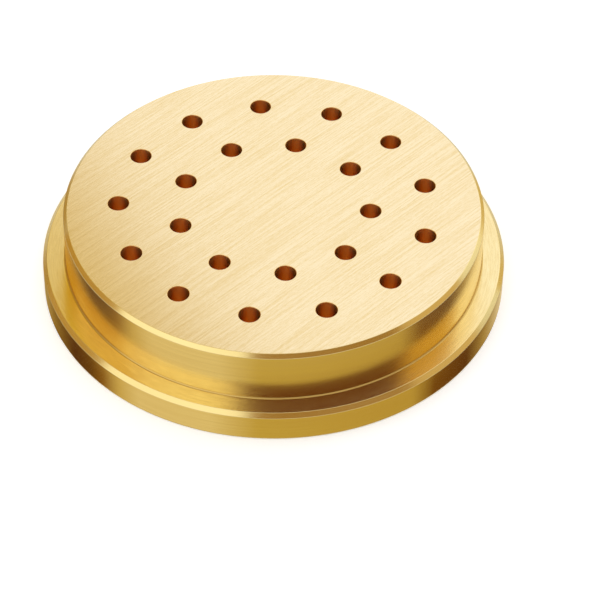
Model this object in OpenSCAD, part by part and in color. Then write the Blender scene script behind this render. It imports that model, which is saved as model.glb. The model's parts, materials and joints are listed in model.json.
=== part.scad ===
// Pasta extrusion die: one turned brass disc with a seating flange, drilled through in two rings.
// The exit face looks up (+Z) and the origin is the centre of the back face, which seats in the press.

/* [Turned disc] */
// Diameter of the seating flange
flange_d = 57; // [50:0.5:70]
// Thickness of the flange, from the back face to the shoulder
flange_t = 4; // [2.5:0.1:8]
// Width of the shoulder that the ring nut bears on
shoulder_w = 2.8; // [1.5:0.1:5]
// Height of the body above the shoulder
body_h = 7; // [4:0.1:12]

/* [Edges] */
// Chamfer round the exit face
face_chamfer = 0.45; // [0.1:0.05:1.5]
// Chamfer on the upper edge of the flange
flange_chamfer = 0.5; // [0.1:0.05:1]
// Broken edge round the back face
back_break = 0.15; // [0.05:0.05:1]
// Radius in the corner between the body and the shoulder
corner_r = 0.4; // [0.1:0.05:0.8]

/* [Extrusion holes] */
// Diameter of a hole at the exit face
hole_d = 2.6; // [1.2:0.1:4]
// Diameter of the countersunk inlet of a hole at the back face
inlet_d = 4.6; // [4.2:0.1:6]
// Cone angle of the countersunk inlets
inlet_angle = 90; // [60:1:120]

/* [Outer ring of holes] */
// Distance from the wall of the body in to the outer pitch circle
rim_to_ring = 6.7; // [4:0.1:9]
// Number of holes in the outer ring
outer_count = 13; // [6:1:15]
// Turn of the outer ring about the axis
outer_phase = 13; // [0:0.5:60]

/* [Inner ring of holes] */
// Distance from the outer pitch circle in to the inner one
ring_step = 7.2; // [6.5:0.1:9]
// Number of holes in the inner ring
inner_count = 9; // [4:1:10]
// Turn of the inner ring about the axis
inner_phase = 37.6; // [0:0.1:90]

/* [Hidden] */
$fn = 180;

// Length by which a drill runs past the face it breaks through
overrun = 1;

die_h = flange_t + body_h;
flange_r = flange_d / 2;
body_r = flange_r - shoulder_w;
outer_ring_r = body_r - rim_to_ring;
inner_ring_r = outer_ring_r - ring_step;

hole_r = hole_d / 2;
inlet_r = inlet_d / 2;
inlet_slope = tan(inlet_angle / 2);
inlet_h = (inlet_r - hole_r) / inlet_slope;

brass = [0.86, 0.72, 0.43];

// Half section of the turned disc, from the axis out
module half_section() {
    polygon([
        [0, 0],
        [flange_r - back_break, 0],
        [flange_r, back_break],
        [flange_r, flange_t - flange_chamfer],
        [flange_r - flange_chamfer, flange_t],
        [body_r, flange_t],
        [body_r, die_h - face_chamfer],
        [body_r - face_chamfer, die_h],
        [0, die_h]
    ]);
    translate([body_r, flange_t]) corner_fillet();
}

// Metal that the round nose of the lathe tool leaves in the inside corner
module corner_fillet() {
    difference() {
        square(corner_r);
        translate([corner_r, corner_r]) circle(corner_r);
    }
}

// One extrusion hole: countersunk inlet at the back, then a straight land to the exit face
module extrusion_hole() {
    rotate_extrude()
        polygon([
            [0, -overrun],
            [inlet_r + overrun * inlet_slope, -overrun],
            [hole_r, inlet_h],
            [hole_r, die_h + overrun],
            [0, die_h + overrun]
        ]);
}

// Extrusion holes spaced evenly on one pitch circle
module hole_ring(count, ring_r, phase) {
    for (i = [0 : count - 1])
        rotate(phase + i * 360 / count)
            translate([ring_r, 0, 0])
                extrusion_hole();
}

// The whole die, turned and drilled from one piece of brass
module die_body() {
    color(brass)
        difference() {
            rotate_extrude() half_section();
            hole_ring(outer_count, outer_ring_r, outer_phase);
            hole_ring(inner_count, inner_ring_r, inner_phase);
        }
}

die_body();
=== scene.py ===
"""Looks of a pasta extrusion die: a flanged brass disc, turned, brushed and drilled in two rings."""

from __future__ import annotations

import json
import logging
import math
from collections.abc import Sequence
from dataclasses import dataclass, field
from enum import Enum
from itertools import product
from typing import Any

import bmesh
import bpy
from mathutils import Matrix, Quaternion, Vector


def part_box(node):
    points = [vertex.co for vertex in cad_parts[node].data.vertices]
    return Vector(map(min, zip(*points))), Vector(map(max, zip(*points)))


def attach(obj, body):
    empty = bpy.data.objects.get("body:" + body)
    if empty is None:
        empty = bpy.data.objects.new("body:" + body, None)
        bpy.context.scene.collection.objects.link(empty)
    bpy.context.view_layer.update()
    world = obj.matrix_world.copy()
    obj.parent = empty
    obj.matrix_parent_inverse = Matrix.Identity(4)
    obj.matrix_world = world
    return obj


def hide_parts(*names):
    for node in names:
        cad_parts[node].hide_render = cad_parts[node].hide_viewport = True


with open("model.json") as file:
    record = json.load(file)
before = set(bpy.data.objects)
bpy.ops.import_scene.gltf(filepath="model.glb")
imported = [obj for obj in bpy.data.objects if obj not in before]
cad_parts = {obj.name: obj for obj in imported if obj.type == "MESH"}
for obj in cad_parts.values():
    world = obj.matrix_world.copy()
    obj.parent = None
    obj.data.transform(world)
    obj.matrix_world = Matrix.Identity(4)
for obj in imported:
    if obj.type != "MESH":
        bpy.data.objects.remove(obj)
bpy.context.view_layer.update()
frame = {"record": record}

MM = 0.001
RGB = tuple[float, float, float]
# Turn that stretches a highlight across the tool marks, as a share of a full turn.
CROSS_GRAIN = 0.25
# Ray depth above which light has been mirrored twice.
MIRRORED_TWICE = 1.5

log = logging.getLogger("pasta_die")


class Surface(Enum):
    """Surfaces of the die that are finished apart; the value is the material slot."""

    EXIT_FACE = 0
    BACK_FACE = 1
    SHOULDER = 2
    WALL = 3
    CHAMFER = 4
    EDGE = 5
    CORNER = 6
    BORE = 7

    @property
    def is_flat(self) -> bool:
        """True for the faces that were cut in one plane."""
        return self in (Surface.EXIT_FACE, Surface.BACK_FACE, Surface.SHOULDER)


class Graph:
    """Shader nodes of one material."""

    def __init__(self, name: str) -> None:
        """Starts an empty material.

        Args:
            name: Name of the material.
        """
        self.material = bpy.data.materials.new(name)
        self.material.use_nodes = True
        self.tree = self.material.node_tree
        self.tree.nodes.clear()

    def node(self, kind: str, inputs: dict[int | str, Any] | None = None,
             **settings: Any) -> bpy.types.Node:
        """Adds a node.

        Args:
            kind: Blender's type name of the node.
            inputs: Sockets by name or number, each with a value or with the output that feeds it.
            **settings: Properties of the node.

        Returns:
            The new node.
        """
        node = self.tree.nodes.new(kind)
        for key, value in settings.items():
            setattr(node, key, value)
        for key, value in (inputs or {}).items():
            if isinstance(value, bpy.types.NodeSocket):
                self.tree.links.new(value, node.inputs[key])
            else:
                node.inputs[key].default_value = value
        return node

    def math(self, operation: str, first: Any, second: Any = 0.0) -> bpy.types.NodeSocket:
        """Adds a Math node.

        Args:
            operation: Blender's name of the operation.
            first: Number or output.
            second: Number or output.

        Returns:
            The result's output.
        """
        return self.node("ShaderNodeMath", {0: first, 1: second}, operation=operation).outputs[0]

    def spread(self, value: bpy.types.NodeSocket, low: float, high: float,
               span: tuple[float, float] = (0.3, 0.7)) -> bpy.types.NodeSocket:
        """Maps a pattern to a range of values.

        Args:
            value: Output of the pattern.
            low: Result at the pattern's lower level.
            high: Result at the pattern's upper level.
            span: Lower and upper level of the pattern.

        Returns:
            The mapped output.
        """
        inputs = {"Value": value, "From Min": span[0], "From Max": span[1], "To Min": low, "To Max": high}
        return self.node("ShaderNodeMapRange", inputs).outputs["Result"]

    def blend(self, factor: bpy.types.NodeSocket, first: Any, second: Any) -> bpy.types.NodeSocket:
        """Mixes two colours.

        Args:
            factor: Output that is 0 for the first colour and 1 for the second.
            first: Colour or output.
            second: Colour or output.

        Returns:
            The mixed colour's output.
        """
        mix = self.node("ShaderNodeMix", {"Factor": factor}, data_type="RGBA")
        for socket, value in ((mix.inputs[6], first), (mix.inputs[7], second)):
            if isinstance(value, bpy.types.NodeSocket):
                self.tree.links.new(value, socket)
            else:
                socket.default_value = (*value, 1.0)
        return mix.outputs[2]

    def finish(self, shader: bpy.types.NodeSocket) -> bpy.types.Material:
        """Ends the material in one shader.

        Args:
            shader: Output of the surface shader.

        Returns:
            The finished material.
        """
        self.node("ShaderNodeOutputMaterial", {"Surface": shader})
        return self.material


@dataclass(frozen=True)
class BrassFinish:
    """Brass with a fine directional pattern of tool marks."""

    name: str
    light: RGB
    dark: RGB
    roughness: tuple[float, float]
    anisotropy: float
    mark_depth_mm: float
    tone_span: tuple[float, float] = (0.3, 0.7)
    glancing: RGB = (1.0, 1.0, 1.0)

    def marks(self, graph: Graph, place: bpy.types.NodeSocket) -> bpy.types.NodeSocket:
        """Lays the tool marks.

        Args:
            graph: Nodes of the material.
            place: Output with the place on the die.

        Returns:
            Output of the pattern, about 0.5 in the mean.
        """
        raise NotImplementedError

    def grain(self, graph: Graph) -> bpy.types.NodeSocket:
        """Gives the direction that the tool marks run in.

        Args:
            graph: Nodes of the material.

        Returns:
            Output of a tangent along the marks.
        """
        return graph.node("ShaderNodeTangent", direction_type="RADIAL", axis="Z").outputs[0]

    def colour(self, graph: Graph, place: bpy.types.NodeSocket,
               marks: bpy.types.NodeSocket) -> bpy.types.NodeSocket:
        """Colours the metal along its marks.

        Args:
            graph: Nodes of the material.
            place: Output with the place on the die; not used here.
            marks: Output of the tool marks.

        Returns:
            The colour's output.
        """
        return graph.blend(graph.spread(marks, 0.0, 1.0, self.tone_span), self.dark, self.light)

    def material(self) -> bpy.types.Material:
        """Makes the material of this finish.

        Returns:
            The material.
        """
        graph = Graph(self.name)
        place = graph.node("ShaderNodeTexCoord").outputs["Object"]
        marks = self.marks(graph, place)
        bump = graph.node("ShaderNodeBump", {
            "Height": marks,
            "Strength": 1.0,
            "Distance": self.mark_depth_mm * MM,
        })
        metal = graph.node("ShaderNodeBsdfPrincipled", {
            "Base Color": self.colour(graph, place, marks),
            "Metallic": 1.0,
            "Roughness": graph.spread(marks, self.roughness[1], self.roughness[0]),
            "Specular Tint": (*self.glancing, 1.0),
            "Anisotropic": self.anisotropy,
            "Anisotropic Rotation": CROSS_GRAIN,
            "Tangent": self.grain(graph),
            "Normal": bump.outputs[0],
        })
        return graph.finish(metal.outputs[0])


@dataclass(frozen=True)
class Streak:
    """One layer of brush marks: size of a mark, its share of the pattern and how finely it splits."""

    length_mm: float
    width_mm: float
    share: float
    detail: float = 1.0


@dataclass(frozen=True)
class BrushedBrass(BrassFinish):
    """Brass rubbed in one straight direction."""

    angle_deg: float = 46.0
    raggedness: float = 0.6
    layers: tuple[Streak, ...] = (
        Streak(length_mm=9.0, width_mm=0.23, share=0.62, detail=4.0),
        Streak(length_mm=12.0, width_mm=0.45, share=0.12),
        Streak(length_mm=0.6, width_mm=0.13, share=0.26),
    )

    def _streaks(self, graph: Graph, place: bpy.types.NodeSocket, layer: Streak) -> bpy.types.NodeSocket:
        """Stretches a noise along the brushing.

        Args:
            graph: Nodes of the material.
            place: Output with the place on the die.
            layer: The layer of marks.

        Returns:
            Output of the layer, weighted by its share.
        """
        along = graph.node("ShaderNodeMapping", {
            "Vector": place,
            "Rotation": (0.0, 0.0, math.radians(self.angle_deg)),
            "Scale": (layer.length_mm * MM, layer.width_mm * MM, layer.length_mm * MM),
        }, vector_type="TEXTURE")
        noise = graph.node("ShaderNodeTexNoise", {
            "Vector": along.outputs[0],
            "Scale": 1.0,
            "Detail": layer.detail,
            "Roughness": self.raggedness,
        })
        return graph.math("MULTIPLY", noise.outputs[0], layer.share)

    def marks(self, graph: Graph, place: bpy.types.NodeSocket) -> bpy.types.NodeSocket:
        """Lays the layers of brush marks over each other.

        Args:
            graph: Nodes of the material.
            place: Output with the place on the die.

        Returns:
            Output of the pattern, about 0.5 in the mean.
        """
        pattern = self._streaks(graph, place, self.layers[0])
        for layer in self.layers[1:]:
            pattern = graph.math("ADD", pattern, self._streaks(graph, place, layer))
        return pattern

    def grain(self, graph: Graph) -> bpy.types.NodeSocket:
        """Runs the tangent along the brushing.

        Args:
            graph: Nodes of the material.

        Returns:
            Output of a tangent along the marks.
        """
        angle = math.radians(self.angle_deg)
        along = graph.node("ShaderNodeCombineXYZ", {0: math.cos(angle), 1: math.sin(angle)})
        return along.outputs[0]


@dataclass(frozen=True)
class TurnedBrass(BrassFinish):
    """Brass with the rings that a lathe tool leaves."""

    pitch_mm: float = 0.16
    drift: float = 1.6
    detail: float = 2.0
    raggedness: float = 0.55

    def marks(self, graph: Graph, place: bpy.types.NodeSocket) -> bpy.types.NodeSocket:
        """Lays rings about the axis that drift slowly round it.

        Args:
            graph: Nodes of the material.
            place: Output with the place on the die.

        Returns:
            Output of the pattern, about 0.5 in the mean.
        """
        axes = graph.node("ShaderNodeSeparateXYZ", {0: place})
        across = graph.node("ShaderNodeCombineXYZ", {0: axes.outputs[0], 1: axes.outputs[1]})
        radius = graph.node("ShaderNodeVectorMath", {0: across.outputs[0]}, operation="LENGTH")
        heading = graph.node("ShaderNodeVectorMath", {0: across.outputs[0]}, operation="NORMALIZE")
        turn = graph.node("ShaderNodeSeparateXYZ", {0: heading.outputs[0]})
        feed = graph.math("ADD", radius.outputs["Value"], axes.outputs[2])
        ring = graph.node("ShaderNodeCombineXYZ", {
            0: graph.math("DIVIDE", feed, self.pitch_mm * MM),
            1: graph.math("MULTIPLY", turn.outputs[0], self.drift),
            2: graph.math("MULTIPLY", turn.outputs[1], self.drift),
        })
        noise = graph.node("ShaderNodeTexNoise", {
            "Vector": ring.outputs[0],
            "Scale": 1.0,
            "Detail": self.detail,
            "Roughness": self.raggedness,
        })
        return noise.outputs[0]


@dataclass(frozen=True)
class DrilledBrass(TurnedBrass):
    """Brass inside the drilled holes, with painted shade: darker and more orange away from the brushed
    face.
    """

    # Colour of the painted shade deep in the hole, and the heights over which that painted shade fades
    # out towards the face.
    painted_deep_shade: RGB = (0.98, 0.54, 0.15)
    shade_fade_z_mm: tuple[float, float] = (8.5, 11.0)

    def grain(self, graph: Graph) -> bpy.types.NodeSocket:
        """Runs the tangent round each hole's own axis.

        Args:
            graph: Nodes of the material.

        Returns:
            Output of a tangent along the marks.
        """
        normal = graph.node("ShaderNodeNewGeometry").outputs["Normal"]
        axis = (0.0, 0.0, 1.0)
        around = graph.node("ShaderNodeVectorMath", {0: axis, 1: normal}, operation="CROSS_PRODUCT")
        return around.outputs[0]

    def colour(self, graph: Graph, place: bpy.types.NodeSocket,
               marks: bpy.types.NodeSocket) -> bpy.types.NodeSocket:
        """Paints shade into the wall with its depth in the hole: darker and more orange deeper down.

        Args:
            graph: Nodes of the material.
            place: Output with the place on the die.
            marks: Output of the tool marks.

        Returns:
            The colour's output.
        """
        height = graph.node("ShaderNodeSeparateXYZ", {0: place}).outputs[2]
        span = (self.shade_fade_z_mm[0] * MM, self.shade_fade_z_mm[1] * MM)
        unshaded = graph.spread(height, 0.0, 1.0, span)
        bright = graph.blend(graph.spread(marks, 0.0, 1.0), self.dark, self.light)
        return graph.blend(unshaded, self.painted_deep_shade, bright)


FINISHES: dict[Surface, BrassFinish] = {
    Surface.EXIT_FACE: BrushedBrass(
        "brass_brushed_face", light=(0.955, 0.80, 0.52), dark=(0.828, 0.624, 0.287),
        roughness=(0.24, 0.26), anisotropy=0.95, mark_depth_mm=0.0003, tone_span=(0.28, 0.58)),
    Surface.BACK_FACE: TurnedBrass(
        "brass_faced_back", light=(0.93, 0.76, 0.38), dark=(0.86, 0.67, 0.30),
        roughness=(0.24, 0.34), anisotropy=0.55, mark_depth_mm=0.0008, pitch_mm=0.25),
    Surface.SHOULDER: TurnedBrass(
        "brass_turned_shoulder", light=(0.97, 0.82, 0.46), dark=(0.89, 0.71, 0.35),
        roughness=(0.21, 0.27), anisotropy=0.55, mark_depth_mm=0.0003, drift=12.0),
    Surface.WALL: TurnedBrass(
        "brass_turned_wall", light=(0.95, 0.77, 0.32), dark=(0.90, 0.70, 0.27),
        roughness=(0.17, 0.23), anisotropy=0.62, mark_depth_mm=0.0004),
    Surface.CHAMFER: TurnedBrass(
        "brass_turned_chamfer", light=(0.95, 0.77, 0.34), dark=(0.91, 0.71, 0.28),
        roughness=(0.17, 0.23), anisotropy=0.30, mark_depth_mm=0.0003, pitch_mm=0.10),
    Surface.EDGE: TurnedBrass(
        "brass_burnished_edge", light=(0.95, 0.78, 0.38), dark=(0.92, 0.73, 0.33),
        roughness=(0.18, 0.24), anisotropy=0.20, mark_depth_mm=0.0002, pitch_mm=0.08),
    # The inner corner is coloured darker than the wall beside it: painted shade in the corner.
    Surface.CORNER: TurnedBrass(
        "brass_inner_corner_painted_shade", light=(0.72, 0.50, 0.16), dark=(0.66, 0.44, 0.13),
        roughness=(0.22, 0.28), anisotropy=0.20, mark_depth_mm=0.0002, pitch_mm=0.08),
    Surface.BORE: DrilledBrass(
        "brass_drilled_bore", light=(1.0, 0.64, 0.25), dark=(0.97, 0.56, 0.19),
        roughness=(0.28, 0.34), anisotropy=0.8, mark_depth_mm=0.0006, glancing=(0.92, 0.88, 0.40),
        pitch_mm=0.12, drift=0.5),
}


@dataclass(frozen=True)
class Corner:
    """One corner of a turned outline, in millimetres."""

    r: float
    z: float
    after: Surface
    round_r: float = 0.0
    rounding: Surface = Surface.EDGE


@dataclass
class Outline:
    """Half section of a turned shape, from the top down, in millimetres."""

    support: float = 0.02
    arc_steps: int = 5
    points: list[Vector] = field(default_factory=list)
    surfaces: list[Surface] = field(default_factory=list)

    @classmethod
    def through(cls, corners: Sequence[Corner]) -> Outline:
        """Draws the outline through its corners.

        Args:
            corners: Corners from the top down; the first and the last stay sharp.

        Returns:
            The outline with its corners rounded.
        """
        outline = cls()
        spots = [Vector((corner.r, corner.z)) for corner in corners]
        outline.points.append(spots[0])
        for index in range(1, len(corners)):
            before = corners[index - 1]
            if index == len(corners) - 1 or corners[index].round_r == 0.0:
                outline._straight(spots[index], before.after)
            else:
                outline._round(spots[index - 1:index + 2], corners[index], before.after)
        return outline

    def _straight(self, end: Vector, surface: Surface) -> None:
        """Runs straight to a point, with a narrow band at each end that keeps the shading true.

        Args:
            end: Where the stretch ends.
            surface: Surface that the stretch turns.
        """
        start = self.points[-1]
        run = end - start
        step = run.normalized() * self.support
        stops = [end]
        if run.length > 4.0 * self.support:
            stops = [start + step, end - step, end]
        for stop in stops:
            self.points.append(stop)
            self.surfaces.append(surface)

    def _round(self, spots: Sequence[Vector], corner: Corner, surface: Surface) -> None:
        """Runs to a corner and round it.

        Args:
            spots: The places before the corner, at it and after it.
            corner: The corner that is rounded.
            surface: Surface of the stretch up to the corner.
        """
        before, tip, after = spots
        back = (before - tip).normalized()
        ahead = (after - tip).normalized()
        half = back.angle(ahead) / 2.0
        reach = corner.round_r / math.tan(half)
        centre = tip + (back + ahead).normalized() * (corner.round_r / math.sin(half))
        self._straight(tip + back * reach, surface)
        first = tip + back * reach - centre
        last = tip + ahead * reach - centre
        sweep = first.angle(last)
        for step in range(1, self.arc_steps + 1):
            share = step / self.arc_steps
            near = first * math.sin((1.0 - share) * sweep)
            far = last * math.sin(share * sweep)
            self.points.append(centre + (near + far) / math.sin(sweep))
            self.surfaces.append(corner.rounding)

    def spin(self, name: str, segments: int, top: Surface, bottom: Surface) -> bpy.types.Mesh:
        """Turns the outline about the axis into a closed mesh.

        Args:
            name: Name of the mesh.
            segments: Number of steps round the axis.
            top: Surface of the flat upper end.
            bottom: Surface of the flat lower end.

        Returns:
            The mesh in metres, with the surfaces as material indices.
        """
        build = bmesh.new()
        turns = [2.0 * math.pi * step / segments for step in range(segments)]
        rings = [
            [
                build.verts.new((
                    point.x * math.cos(turn) * MM,
                    point.x * math.sin(turn) * MM,
                    point.y * MM,
                ))
                for turn in turns
            ]
            for point in self.points
        ]
        build.faces.new(rings[0]).material_index = top.value
        build.faces.new(list(reversed(rings[-1]))).material_index = bottom.value
        for upper, lower, surface in zip(rings, rings[1:], self.surfaces):
            for step in range(segments):
                following = (step + 1) % segments
                quad = build.faces.new((upper[step], lower[step], lower[following], upper[following]))
                quad.material_index = surface.value
        mesh = bpy.data.meshes.new(name)
        build.to_mesh(mesh)
        build.free()
        return mesh


@dataclass(frozen=True)
class HoleRing:
    """Holes spaced evenly on one pitch circle."""

    name: str
    count: int
    radius_mm: float
    phase_deg: float


@dataclass
class ExtrusionDie:
    """The die: one turned disc with a seating flange, drilled through in two rings."""

    node: str = "die_body"
    slot: str = "brass"
    height: float = field(init=False)
    flange_r: float = field(init=False)
    flange_t: float = field(init=False)
    body_r: float = field(init=False)
    face_chamfer: float = 0.45
    flange_chamfer: float = 0.5
    back_break: float = 0.15
    # Tighter than in the solids, because the real corner shows as a thinner line.
    corner_r: float = 0.2
    edge_r: float = 0.08
    rim_band: float = 0.5
    hole_d: float = 2.6
    inlet_d: float = 4.6
    inlet_angle_deg: float = 90.0
    deburr: float = 0.05
    overrun: float = 0.4
    rings: tuple[HoleRing, HoleRing] = (
        HoleRing("Outer", count=13, radius_mm=19.0, phase_deg=13.0),
        HoleRing("Inner", count=9, radius_mm=11.8, phase_deg=37.6),
    )
    disc_segments: int = 288
    hole_segments: int = 64

    def __post_init__(self) -> None:
        """Takes the main sizes, in millimetres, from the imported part."""
        low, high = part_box(self.node)
        mounts = {mount["name"]: mount for mount in frame["record"]["mounts"]}
        self.height = (high.z - low.z) / MM
        self.flange_r = mounts["flange_rim"]["dims"]["r_mm"]
        self.body_r = mounts["body_spigot"]["dims"]["r_mm"]
        self.flange_t = mounts["clamp_shoulder"]["pos_m"][2] / MM

    @property
    def face_centre(self) -> Vector:
        """Centre of the exit face, in metres."""
        return Vector((0.0, 0.0, self.height * MM))

    def blank(self) -> bpy.types.Mesh:
        """Turns the disc before it is drilled.

        Returns:
            The disc's mesh.
        """
        face_r = self.body_r - self.face_chamfer
        shoulder_r = self.flange_r - self.flange_chamfer
        back_r = self.flange_r - self.back_break
        corners = (
            Corner(face_r - self.rim_band, self.height, Surface.EXIT_FACE),
            Corner(face_r, self.height, Surface.CHAMFER, self.edge_r),
            Corner(self.body_r, self.height - self.face_chamfer, Surface.WALL, self.edge_r),
            Corner(self.body_r, self.flange_t, Surface.SHOULDER, self.corner_r, Surface.CORNER),
            Corner(shoulder_r, self.flange_t, Surface.CHAMFER, self.edge_r),
            Corner(self.flange_r, self.flange_t - self.flange_chamfer, Surface.WALL, self.edge_r),
            Corner(self.flange_r, self.back_break, Surface.CHAMFER, self.edge_r),
            Corner(back_r, 0.0, Surface.BACK_FACE, self.edge_r),
            Corner(back_r - self.rim_band, 0.0, Surface.BACK_FACE),
        )
        outline = Outline.through(corners)
        return outline.spin("turned_blank", self.disc_segments, Surface.EXIT_FACE, Surface.BACK_FACE)

    def drill(self) -> bpy.types.Mesh:
        """Turns the shape that one hole takes out of the disc.

        Returns:
            The drill's mesh, about the axis of the die.
        """
        hole_r = self.hole_d / 2.0
        slope = math.tan(math.radians(self.inlet_angle_deg) / 2.0)
        inlet_h = (self.inlet_d / 2.0 - hole_r) / slope
        mouth_r = hole_r + self.deburr + self.overrun
        corners = (
            Corner(mouth_r, self.height + self.overrun, Surface.BORE),
            Corner(hole_r, self.height - self.deburr, Surface.BORE),
            Corner(hole_r, inlet_h, Surface.BORE),
            Corner(self.inlet_d / 2.0 + self.overrun * slope, -self.overrun, Surface.BORE),
        )
        outline = Outline.through(corners)
        return outline.spin("hole_drill", self.hole_segments, Surface.BORE, Surface.BORE)

    def ring_tree(self) -> bpy.types.NodeTree:
        """Builds the node tree that repeats the drill on the two pitch circles.

        Returns:
            The tree, with a count, a radius and a phase to set for each ring.
        """
        tree = bpy.data.node_groups.new("hole_rings", "GeometryNodeTree")
        face = tree.interface
        face.new_socket("Drill", in_out="INPUT", socket_type="NodeSocketGeometry")
        face.new_socket("Finish", in_out="INPUT", socket_type="NodeSocketMaterial")
        face.new_socket("Holes", in_out="OUTPUT", socket_type="NodeSocketGeometry")
        for ring in self.rings:
            face.new_socket(f"{ring.name} Count", in_out="INPUT", socket_type="NodeSocketInt")
            face.new_socket(f"{ring.name} Radius", in_out="INPUT", socket_type="NodeSocketFloat")
            face.new_socket(f"{ring.name} Phase", in_out="INPUT", socket_type="NodeSocketFloat")
        given = tree.nodes.new("NodeGroupInput").outputs
        join = tree.nodes.new("GeometryNodeJoinGeometry")
        for ring in self.rings:
            circle = tree.nodes.new("GeometryNodeMeshCircle")
            phase = tree.nodes.new("ShaderNodeCombineXYZ")
            turned = tree.nodes.new("GeometryNodeTransform")
            placed = tree.nodes.new("GeometryNodeInstanceOnPoints")
            tree.links.new(given[f"{ring.name} Count"], circle.inputs["Vertices"])
            tree.links.new(given[f"{ring.name} Radius"], circle.inputs["Radius"])
            tree.links.new(given[f"{ring.name} Phase"], phase.inputs["Z"])
            tree.links.new(circle.outputs["Mesh"], turned.inputs["Geometry"])
            tree.links.new(phase.outputs[0], turned.inputs["Rotation"])
            tree.links.new(turned.outputs[0], placed.inputs["Points"])
            tree.links.new(given["Drill"], placed.inputs["Instance"])
            tree.links.new(placed.outputs[0], join.inputs[0])
        real = tree.nodes.new("GeometryNodeRealizeInstances")
        finish = tree.nodes.new("GeometryNodeSetMaterial")
        result = tree.nodes.new("NodeGroupOutput")
        tree.links.new(join.outputs[0], real.inputs[0])
        tree.links.new(real.outputs[0], finish.inputs["Geometry"])
        tree.links.new(given["Finish"], finish.inputs["Material"])
        tree.links.new(finish.outputs[0], result.inputs["Holes"])
        return tree

    def drills(self, bore: bpy.types.Material) -> bpy.types.Object:
        """Repeats the drill at every hole.

        Args:
            bore: Material of the hole walls.

        Returns:
            One object with all the drills as a plain mesh.
        """
        tool = new_object("hole_drills", self.drill())
        repeat = tool.modifiers.new("hole_rings", "NODES")
        repeat.node_group = self.ring_tree()
        values: dict[str, Any] = {"Finish": bore}
        for ring in self.rings:
            values[f"{ring.name} Count"] = ring.count
            values[f"{ring.name} Radius"] = ring.radius_mm * MM
            values[f"{ring.name} Phase"] = math.radians(ring.phase_deg)
        for item in repeat.node_group.interface.items_tree:
            if item.in_out == "INPUT" and item.name in values:
                repeat[item.identifier] = values[item.name]
        make_plain(tool)
        return tool

    def build(self) -> bpy.types.Object:
        """Turns, drills and dresses the die.

        Returns:
            The finished piece, which stands for the CAD node.
        """
        materials = [FINISHES[surface].material() for surface in Surface]
        die = new_object("drilled_die", self.blank())
        for material in materials:
            die.data.materials.append(material)
        drills = self.drills(materials[Surface.BORE.value])
        cut = die.modifiers.new("drilled", "BOOLEAN")
        cut.operation = "DIFFERENCE"
        cut.solver = "EXACT"
        cut.material_mode = "TRANSFER"
        cut.object = drills
        make_plain(die)
        bpy.data.objects.remove(drills)
        for face in die.data.polygons:
            name = die.data.materials[face.material_index].name
            surface = next(key for key in Surface if FINISHES[key].name == name)
            face.use_smooth = not surface.is_flat
        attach(die, "root")
        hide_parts(self.node)
        return die


@dataclass(frozen=True)
class PhotoCamera:
    """Camera at the photograph's viewing angle, aimed by where it shows the exit face's centre."""

    elevation_deg: float = 44.089
    roll_deg: float = 0.787
    face_centre_px: tuple[float, float] = (273.95, 206.84)
    depth_mm: float = 335.12
    focal_px: float = 2747.4
    frame_px: float = 600.0
    sensor_mm: float = 36.0
    clip_m: tuple[float, float] = (0.02, 20.0)

    def place(self, face_centre: Vector) -> bpy.types.Object:
        """Adds the camera and makes it the scene's.

        Args:
            face_centre: Centre of the exit face, in metres.

        Returns:
            The camera.
        """
        tilt = math.radians(self.elevation_deg)
        level = Matrix((
            (1.0, 0.0, 0.0),
            (0.0, -math.sin(tilt), -math.cos(tilt)),
            (0.0, math.cos(tilt), -math.sin(tilt)),
        ))
        axes = Matrix.Rotation(math.radians(self.roll_deg), 3, "Z") @ level
        middle = self.frame_px / 2.0
        scale = self.depth_mm / self.focal_px
        seen = Vector((
            (self.face_centre_px[0] - middle) * scale,
            (self.face_centre_px[1] - middle) * scale,
            self.depth_mm,
        )) * MM
        pose = Matrix((axes[0], -axes[1], -axes[2])).transposed().to_4x4()
        pose.translation = face_centre - axes.transposed() @ seen
        data = bpy.data.cameras.new("photo_camera")
        data.sensor_width = self.sensor_mm
        data.lens = self.focal_px / self.frame_px * self.sensor_mm
        data.clip_start, data.clip_end = self.clip_m
        camera = bpy.data.objects.new("photo_camera", data)
        camera.matrix_world = pose
        bpy.context.scene.collection.objects.link(camera)
        bpy.context.scene.camera = camera
        return camera


def bearing(azimuth_deg: float, elevation_deg: float) -> Vector:
    """Gives a direction from the die.

    Args:
        azimuth_deg: Angle from +X towards +Y.
        elevation_deg: Angle above the floor.

    Returns:
        The direction's unit vector.
    """
    azimuth = math.radians(azimuth_deg)
    elevation = math.radians(elevation_deg)
    flat = math.cos(elevation)
    return Vector((flat * math.cos(azimuth), flat * math.sin(azimuth), math.sin(elevation)))


def facing(away: Vector, roll_deg: float) -> Quaternion:
    """Turns a lamp or a panel towards the die.

    Args:
        away: Direction from the die to it.
        roll_deg: Turn about that direction.

    Returns:
        The rotation.
    """
    return away.to_track_quat("Z", "Y") @ Quaternion((0.0, 0.0, 1.0), math.radians(roll_deg))


@dataclass(frozen=True)
class Softbox:
    """Rectangular soft lamp that faces the die."""

    name: str
    azimuth_deg: float
    elevation_deg: float
    distance_m: float
    size_m: tuple[float, float]
    level: float
    colour: RGB = (1.0, 1.0, 1.0)
    roll_deg: float = 0.0

    def place(self, target: Vector) -> bpy.types.Object:
        """Hangs the lamp.

        Args:
            target: Point that the lamp faces, in metres.

        Returns:
            The lamp.
        """
        data = bpy.data.lights.new(self.name, "AREA")
        data.shape = "RECTANGLE"
        data.size, data.size_y = self.size_m
        data.energy = self.level * math.pi * self.size_m[0] * self.size_m[1]
        data.color = self.colour
        lamp = bpy.data.objects.new(self.name, data)
        away = bearing(self.azimuth_deg, self.elevation_deg)
        lamp.location = target + away * self.distance_m
        lamp.rotation_euler = facing(away, self.roll_deg).to_euler()
        lamp.visible_camera = False
        bpy.context.scene.collection.objects.link(lamp)
        return lamp


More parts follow.
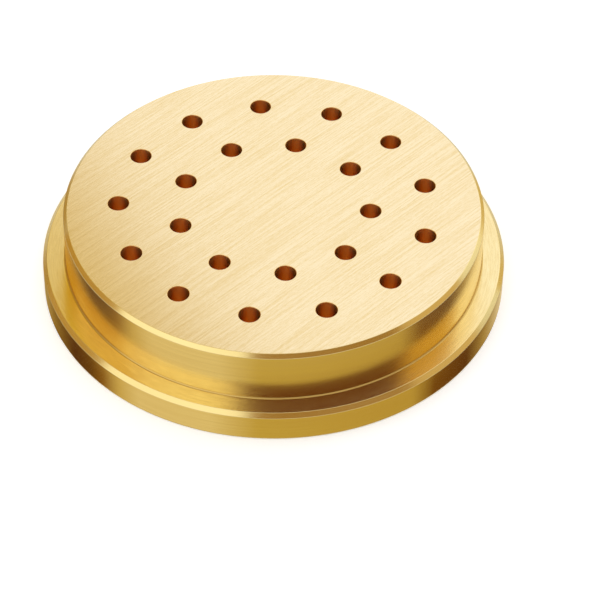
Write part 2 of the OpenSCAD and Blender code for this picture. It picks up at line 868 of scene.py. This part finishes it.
@dataclass(frozen=True)
class MirrorPanel:
    """Upright shaded panel of the studio that only the metal mirrors."""

    name: str
    azimuth_deg: float
    elevation_deg: float
    distance_m: float
    size_m: tuple[float, float]
    shade: RGB
    roll_deg: float = 0.0
    corners_only: bool = False

    def material(self) -> bpy.types.Material:
        """Makes the panel's even shade, clear to metal that mirrors it once where only corners show it.

        Returns:
            The material.
        """
        graph = Graph(self.name)
        glow = graph.node("ShaderNodeEmission", {"Color": (*self.shade, 1.0), "Strength": 1.0})
        shader = glow.outputs[0]
        if self.corners_only:
            clear = graph.node("ShaderNodeBsdfTransparent").outputs[0]
            depth = graph.node("ShaderNodeLightPath").outputs["Ray Depth"]
            twice = graph.math("GREATER_THAN", depth, MIRRORED_TWICE)
            shader = graph.node("ShaderNodeMixShader", {0: twice, 1: clear, 2: shader}).outputs[0]
        return graph.finish(shader)

    def place(self, target: Vector) -> bpy.types.Object:
        """Stands the panel up.

        Args:
            target: Point that the panel faces, in metres.

        Returns:
            The panel.
        """
        away = bearing(self.azimuth_deg, self.elevation_deg)
        turn = facing(away, self.roll_deg)
        centre = target + away * self.distance_m
        half_w, half_h = self.size_m[0] / 2.0, self.size_m[1] / 2.0
        build = bmesh.new()
        corners = ((-half_w, -half_h), (half_w, -half_h), (half_w, half_h), (-half_w, half_h))
        build.faces.new([build.verts.new(centre + turn @ Vector((x, y, 0.0))) for x, y in corners])
        return mirrored_only(self.name, build, self.material())


@dataclass(frozen=True)
class WallView:
    """Turned wall and the card that it mirrors, in millimetres.

    A row of the card is the height on the wall that mirrors it, and its share of the card's shade.
    """

    radius: float
    rows: tuple[tuple[float, float], ...]
    lift: float


@dataclass(frozen=True)
class MirrorCard:
    """Graded card on the floor, cut to what the die's walls mirror, so that they shade round the axis."""

    name: str
    stops: tuple[tuple[float, RGB], ...]
    walls: tuple[WallView, ...] = (
        WallView(25.7, ((5.0, 1.0), (12.0, 1.0), (22.0, 0.0)), 0.05),
        WallView(28.5, ((0.15, 1.0), (3.9, 1.0)), 0.10),
    )
    paper: RGB = (0.82, 0.81, 0.79)
    step_deg: float = 1.0

    def shade(self, angle_deg: float) -> Vector:
        """Grades the card between its stops.

        Args:
            angle_deg: Angle of the wall round the axis.

        Returns:
            The card's colour there.
        """
        for (first, before), (last, after) in zip(self.stops, self.stops[1:]):
            if angle_deg <= last:
                return Vector(before).lerp(Vector(after), (angle_deg - first) / (last - first))
        return Vector(self.stops[-1][1])

    def spot(self, eye: Vector, wall: WallView, angle_deg: float, height_mm: float) -> Vector:
        """Finds the place on the floor that one point of a wall mirrors.

        Args:
            eye: Place of the camera, in metres.
            wall: The wall.
            angle_deg: Angle of the point round the axis.
            height_mm: Height of the point.

        Returns:
            The place, in metres.
        """
        normal = bearing(angle_deg, 0.0)
        point = normal * (wall.radius * MM) + Vector((0.0, 0.0, height_mm * MM))
        ray = (point - eye).reflect(normal)
        return point - ray * (point.z / ray.z) + Vector((0.0, 0.0, wall.lift * MM))

    def place(self, eye: Vector) -> bpy.types.Object:
        """Lays the card.

        Args:
            eye: Place of the camera, in metres.

        Returns:
            The card.
        """
        first, last = self.stops[0][0], self.stops[-1][0]
        count = round((last - first) / self.step_deg)
        angles = [first + (last - first) * step / count for step in range(count + 1)]
        build = bmesh.new()
        tone = build.loops.layers.float_color.new("shade")
        for wall in self.walls:
            rows = [[build.verts.new(self.spot(eye, wall, angle, height)) for angle in angles]
                    for height, _ in wall.rows]
            tones = [[Vector(self.paper).lerp(self.shade(angle), share) for angle in angles]
                     for _, share in wall.rows]
            for row, step in product(range(len(rows) - 1), range(count)):
                ring = ((row, step), (row + 1, step), (row + 1, step + 1), (row, step + 1))
                face = build.faces.new([rows[i][j] for i, j in ring])
                for loop, (i, j) in zip(face.loops, ring):
                    loop[tone] = (*tones[i][j], 1.0)
        graph = Graph(self.name)
        shade = graph.node("ShaderNodeVertexColor", layer_name="shade").outputs["Color"]
        glow = graph.node("ShaderNodeEmission", {"Color": shade, "Strength": 1.0})
        return mirrored_only(self.name, build, graph.finish(glow.outputs[0]))


@dataclass(frozen=True)
class Studio:
    """Plain pale floor, soft lamps and the panels and cards that the metal mirrors."""

    floor_size_m: float = 3.0
    floor_drop_mm: float = 0.02
    floor_colour: RGB = (0.86, 0.86, 0.86)
    floor_glow: float = 0.46
    under_die_mm: float = 28.0
    sky: RGB = (0.62, 0.61, 0.59)
    lamps: tuple[Softbox, ...] = (
        Softbox("back_softbox", 65.8, 22.2, 1.0, (1.335, 2.0), 0.49, (0.98, 1.0, 1.06), roll_deg=49.6),
        Softbox("front_left_softbox", 222.25, 24.0, 0.9, (1.03, 1.1), 0.51),
        Softbox("front_right_softbox", 312.0, 6.0, 0.9, (1.26, 0.44), 0.18),
        Softbox("top_softbox", 90.0, 89.0, 1.0, (0.8, 0.8), 0.36),
    )
    panels: tuple[MirrorPanel, ...] = (
        MirrorPanel("front_panel", 304.3, 46.0, 0.6, (0.866, 0.80), (0.13, 0.04, 0.004),
                    corners_only=True),
        MirrorPanel("left_panel", 147.0, 40.0, 0.6, (0.68, 0.62), (0.62, 0.36, 0.03),
                    corners_only=True),
        MirrorPanel("right_panel", 359.5, 42.0, 0.7, (0.52, 0.40), (0.66, 0.42, 0.03),
                    corners_only=True),
        MirrorPanel("front_chamfer_panel", 305.0, 43.0, 0.65, (0.88, 0.22), (0.34, 0.18, 0.03),
                    roll_deg=-9.0),
        MirrorPanel("left_chamfer_panel", 165.0, 19.0, 0.62, (0.54, 0.20), (0.48, 0.28, 0.05),
                    roll_deg=27.0),
        MirrorPanel("corner_panel", 126.2, 52.5, 0.7, (0.56, 0.78), (0.63, 0.45, 0.05), roll_deg=10.2),
        MirrorPanel("right_chamfer_panel", 357.0, 27.0, 0.62, (0.40, 0.20), (0.64, 0.46, 0.22),
                    roll_deg=-26.0),
        MirrorPanel("left_rim_panel", 128.0, -4.0, 0.06, (0.09, 0.012), (0.42, 0.27, 0.07)),
        MirrorPanel("right_rim_panel", 54.0, -4.0, 0.06, (0.09, 0.012), (0.64, 0.48, 0.18)),
        MirrorPanel("left_shoulder_panel", 197.0, 12.0, 0.0325, (0.024, 0.007), (0.88, 0.70, 0.33),
                    roll_deg=-10.4, corners_only=True),
    )
    card: MirrorCard = MirrorCard("floor_card", (
        (176.0, (0.82, 0.80, 0.75)),
        (188.0, (0.56, 0.42, 0.16)),
        (202.0, (0.30, 0.18, 0.04)),
        (214.0, (0.10, 0.035, 0.01)),
        (221.0, (0.14, 0.06, 0.01)),
        (225.5, (0.25, 0.12, 0.02)),
        (231.0, (0.60, 0.46, 0.20)),
        (237.0, (0.75, 0.64, 0.45)),
        (256.0, (0.75, 0.65, 0.46)),
        (267.0, (0.55, 0.42, 0.13)),
        (306.0, (0.50, 0.36, 0.10)),
        (313.0, (0.18, 0.075, 0.01)),
        (325.0, (0.12, 0.045, 0.01)),
        (334.0, (0.40, 0.27, 0.09)),
        (352.0, (0.88, 0.76, 0.53)),
        (362.0, (0.90, 0.85, 0.72)),
    ))

    def lay_floor(self) -> bpy.types.Object:
        """Lays the floor: white to the camera, with the die's shadow, and a light under the holes.

        Returns:
            The floor.
        """
        graph = Graph("pale_floor")
        path = graph.node("ShaderNodeLightPath").outputs
        place = graph.node("ShaderNodeTexCoord").outputs["Object"]
        reach = graph.node("ShaderNodeVectorMath", {0: place}, operation="LENGTH").outputs["Value"]
        bare = graph.math("GREATER_THAN", reach, self.under_die_mm * MM)
        mirrored = graph.math("MAXIMUM", path["Is Glossy Ray"], path["Is Transmission Ray"])
        below = graph.math("MULTIPLY", mirrored, graph.math("SUBTRACT", 1.0, bare))
        seen = graph.math("MAXIMUM", graph.math("MULTIPLY", path["Is Camera Ray"], bare), below)
        paper = graph.node("ShaderNodeBsdfDiffuse", {"Color": (*self.floor_colour, 1.0)})
        strength = graph.math("MULTIPLY", seen, self.floor_glow)
        glow = graph.node("ShaderNodeEmission", {"Strength": strength})
        both = graph.node("ShaderNodeAddShader", {0: paper.outputs[0], 1: glow.outputs[0]})
        half = self.floor_size_m / 2.0
        build = bmesh.new()
        corners = ((-half, -half), (half, -half), (half, half), (-half, half))
        build.faces.new([build.verts.new((x, y, -self.floor_drop_mm * MM)) for x, y in corners])
        mesh = bpy.data.meshes.new("floor")
        build.to_mesh(mesh)
        build.free()
        mesh.materials.append(graph.finish(both.outputs[0]))
        floor = new_object("floor", mesh)
        return floor

    def fill_sky(self) -> None:
        """Gives the world an even soft light."""
        world = bpy.data.worlds.new("studio_sky")
        world.use_nodes = True
        background = world.node_tree.nodes["Background"]
        background.inputs["Color"].default_value = (*self.sky, 1.0)
        background.inputs["Strength"].default_value = 1.0
        bpy.context.scene.world = world

    def set_up(self, target: Vector, eye: Vector) -> None:
        """Builds the studio round the die.

        Args:
            target: Point that the lamps face, in metres.
            eye: Place of the camera, in metres.
        """
        self.fill_sky()
        self.lay_floor()
        for lamp in self.lamps:
            lamp.place(target)
        for panel in self.panels:
            panel.place(target)
        self.card.place(eye)
        bpy.context.scene.view_settings.view_transform = "Standard"


def new_object(name: str, mesh: bpy.types.Mesh) -> bpy.types.Object:
    """Puts a mesh into the scene.

    Args:
        name: Name of the object.
        mesh: Its mesh, in place.

    Returns:
        The object, at the origin.
    """
    thing = bpy.data.objects.new(name, mesh)
    bpy.context.scene.collection.objects.link(thing)
    return thing


def mirrored_only(name: str, build: bmesh.types.BMesh, material: bpy.types.Material) -> bpy.types.Object:
    """Puts a part of the studio into the scene that shows in the metal alone.

    Args:
        name: Name of the object.
        build: Its mesh, which is used up.
        material: Its material.

    Returns:
        The object, hidden from the camera and from diffuse, transmission and shadow rays.
    """
    mesh = bpy.data.meshes.new(name)
    build.to_mesh(mesh)
    build.free()
    mesh.materials.append(material)
    thing = new_object(name, mesh)
    thing.visible_camera = False
    thing.visible_diffuse = False
    thing.visible_transmission = False
    thing.visible_shadow = False
    return thing


def make_plain(thing: bpy.types.Object) -> None:
    """Turns an object with modifiers into a plain mesh.

    Args:
        thing: Object that keeps the modifiers' result as its own mesh.
    """
    source = thing.data
    evaluated = thing.evaluated_get(bpy.context.evaluated_depsgraph_get())
    plain = bpy.data.meshes.new_from_object(evaluated)
    thing.modifiers.clear()
    thing.data = plain
    plain.name = thing.name
    bpy.data.meshes.remove(source)


def main() -> None:
    """Builds the die and the studio round it."""
    logging.basicConfig(level=logging.INFO, format="%(message)s")
    die = ExtrusionDie()
    camera = PhotoCamera().place(die.face_centre)
    piece = die.build()
    log.info("%s: %d faces", piece.name, len(piece.data.polygons))
    Studio().set_up(die.face_centre, camera.matrix_world.translation)


if __name__ == "__main__":
    main()
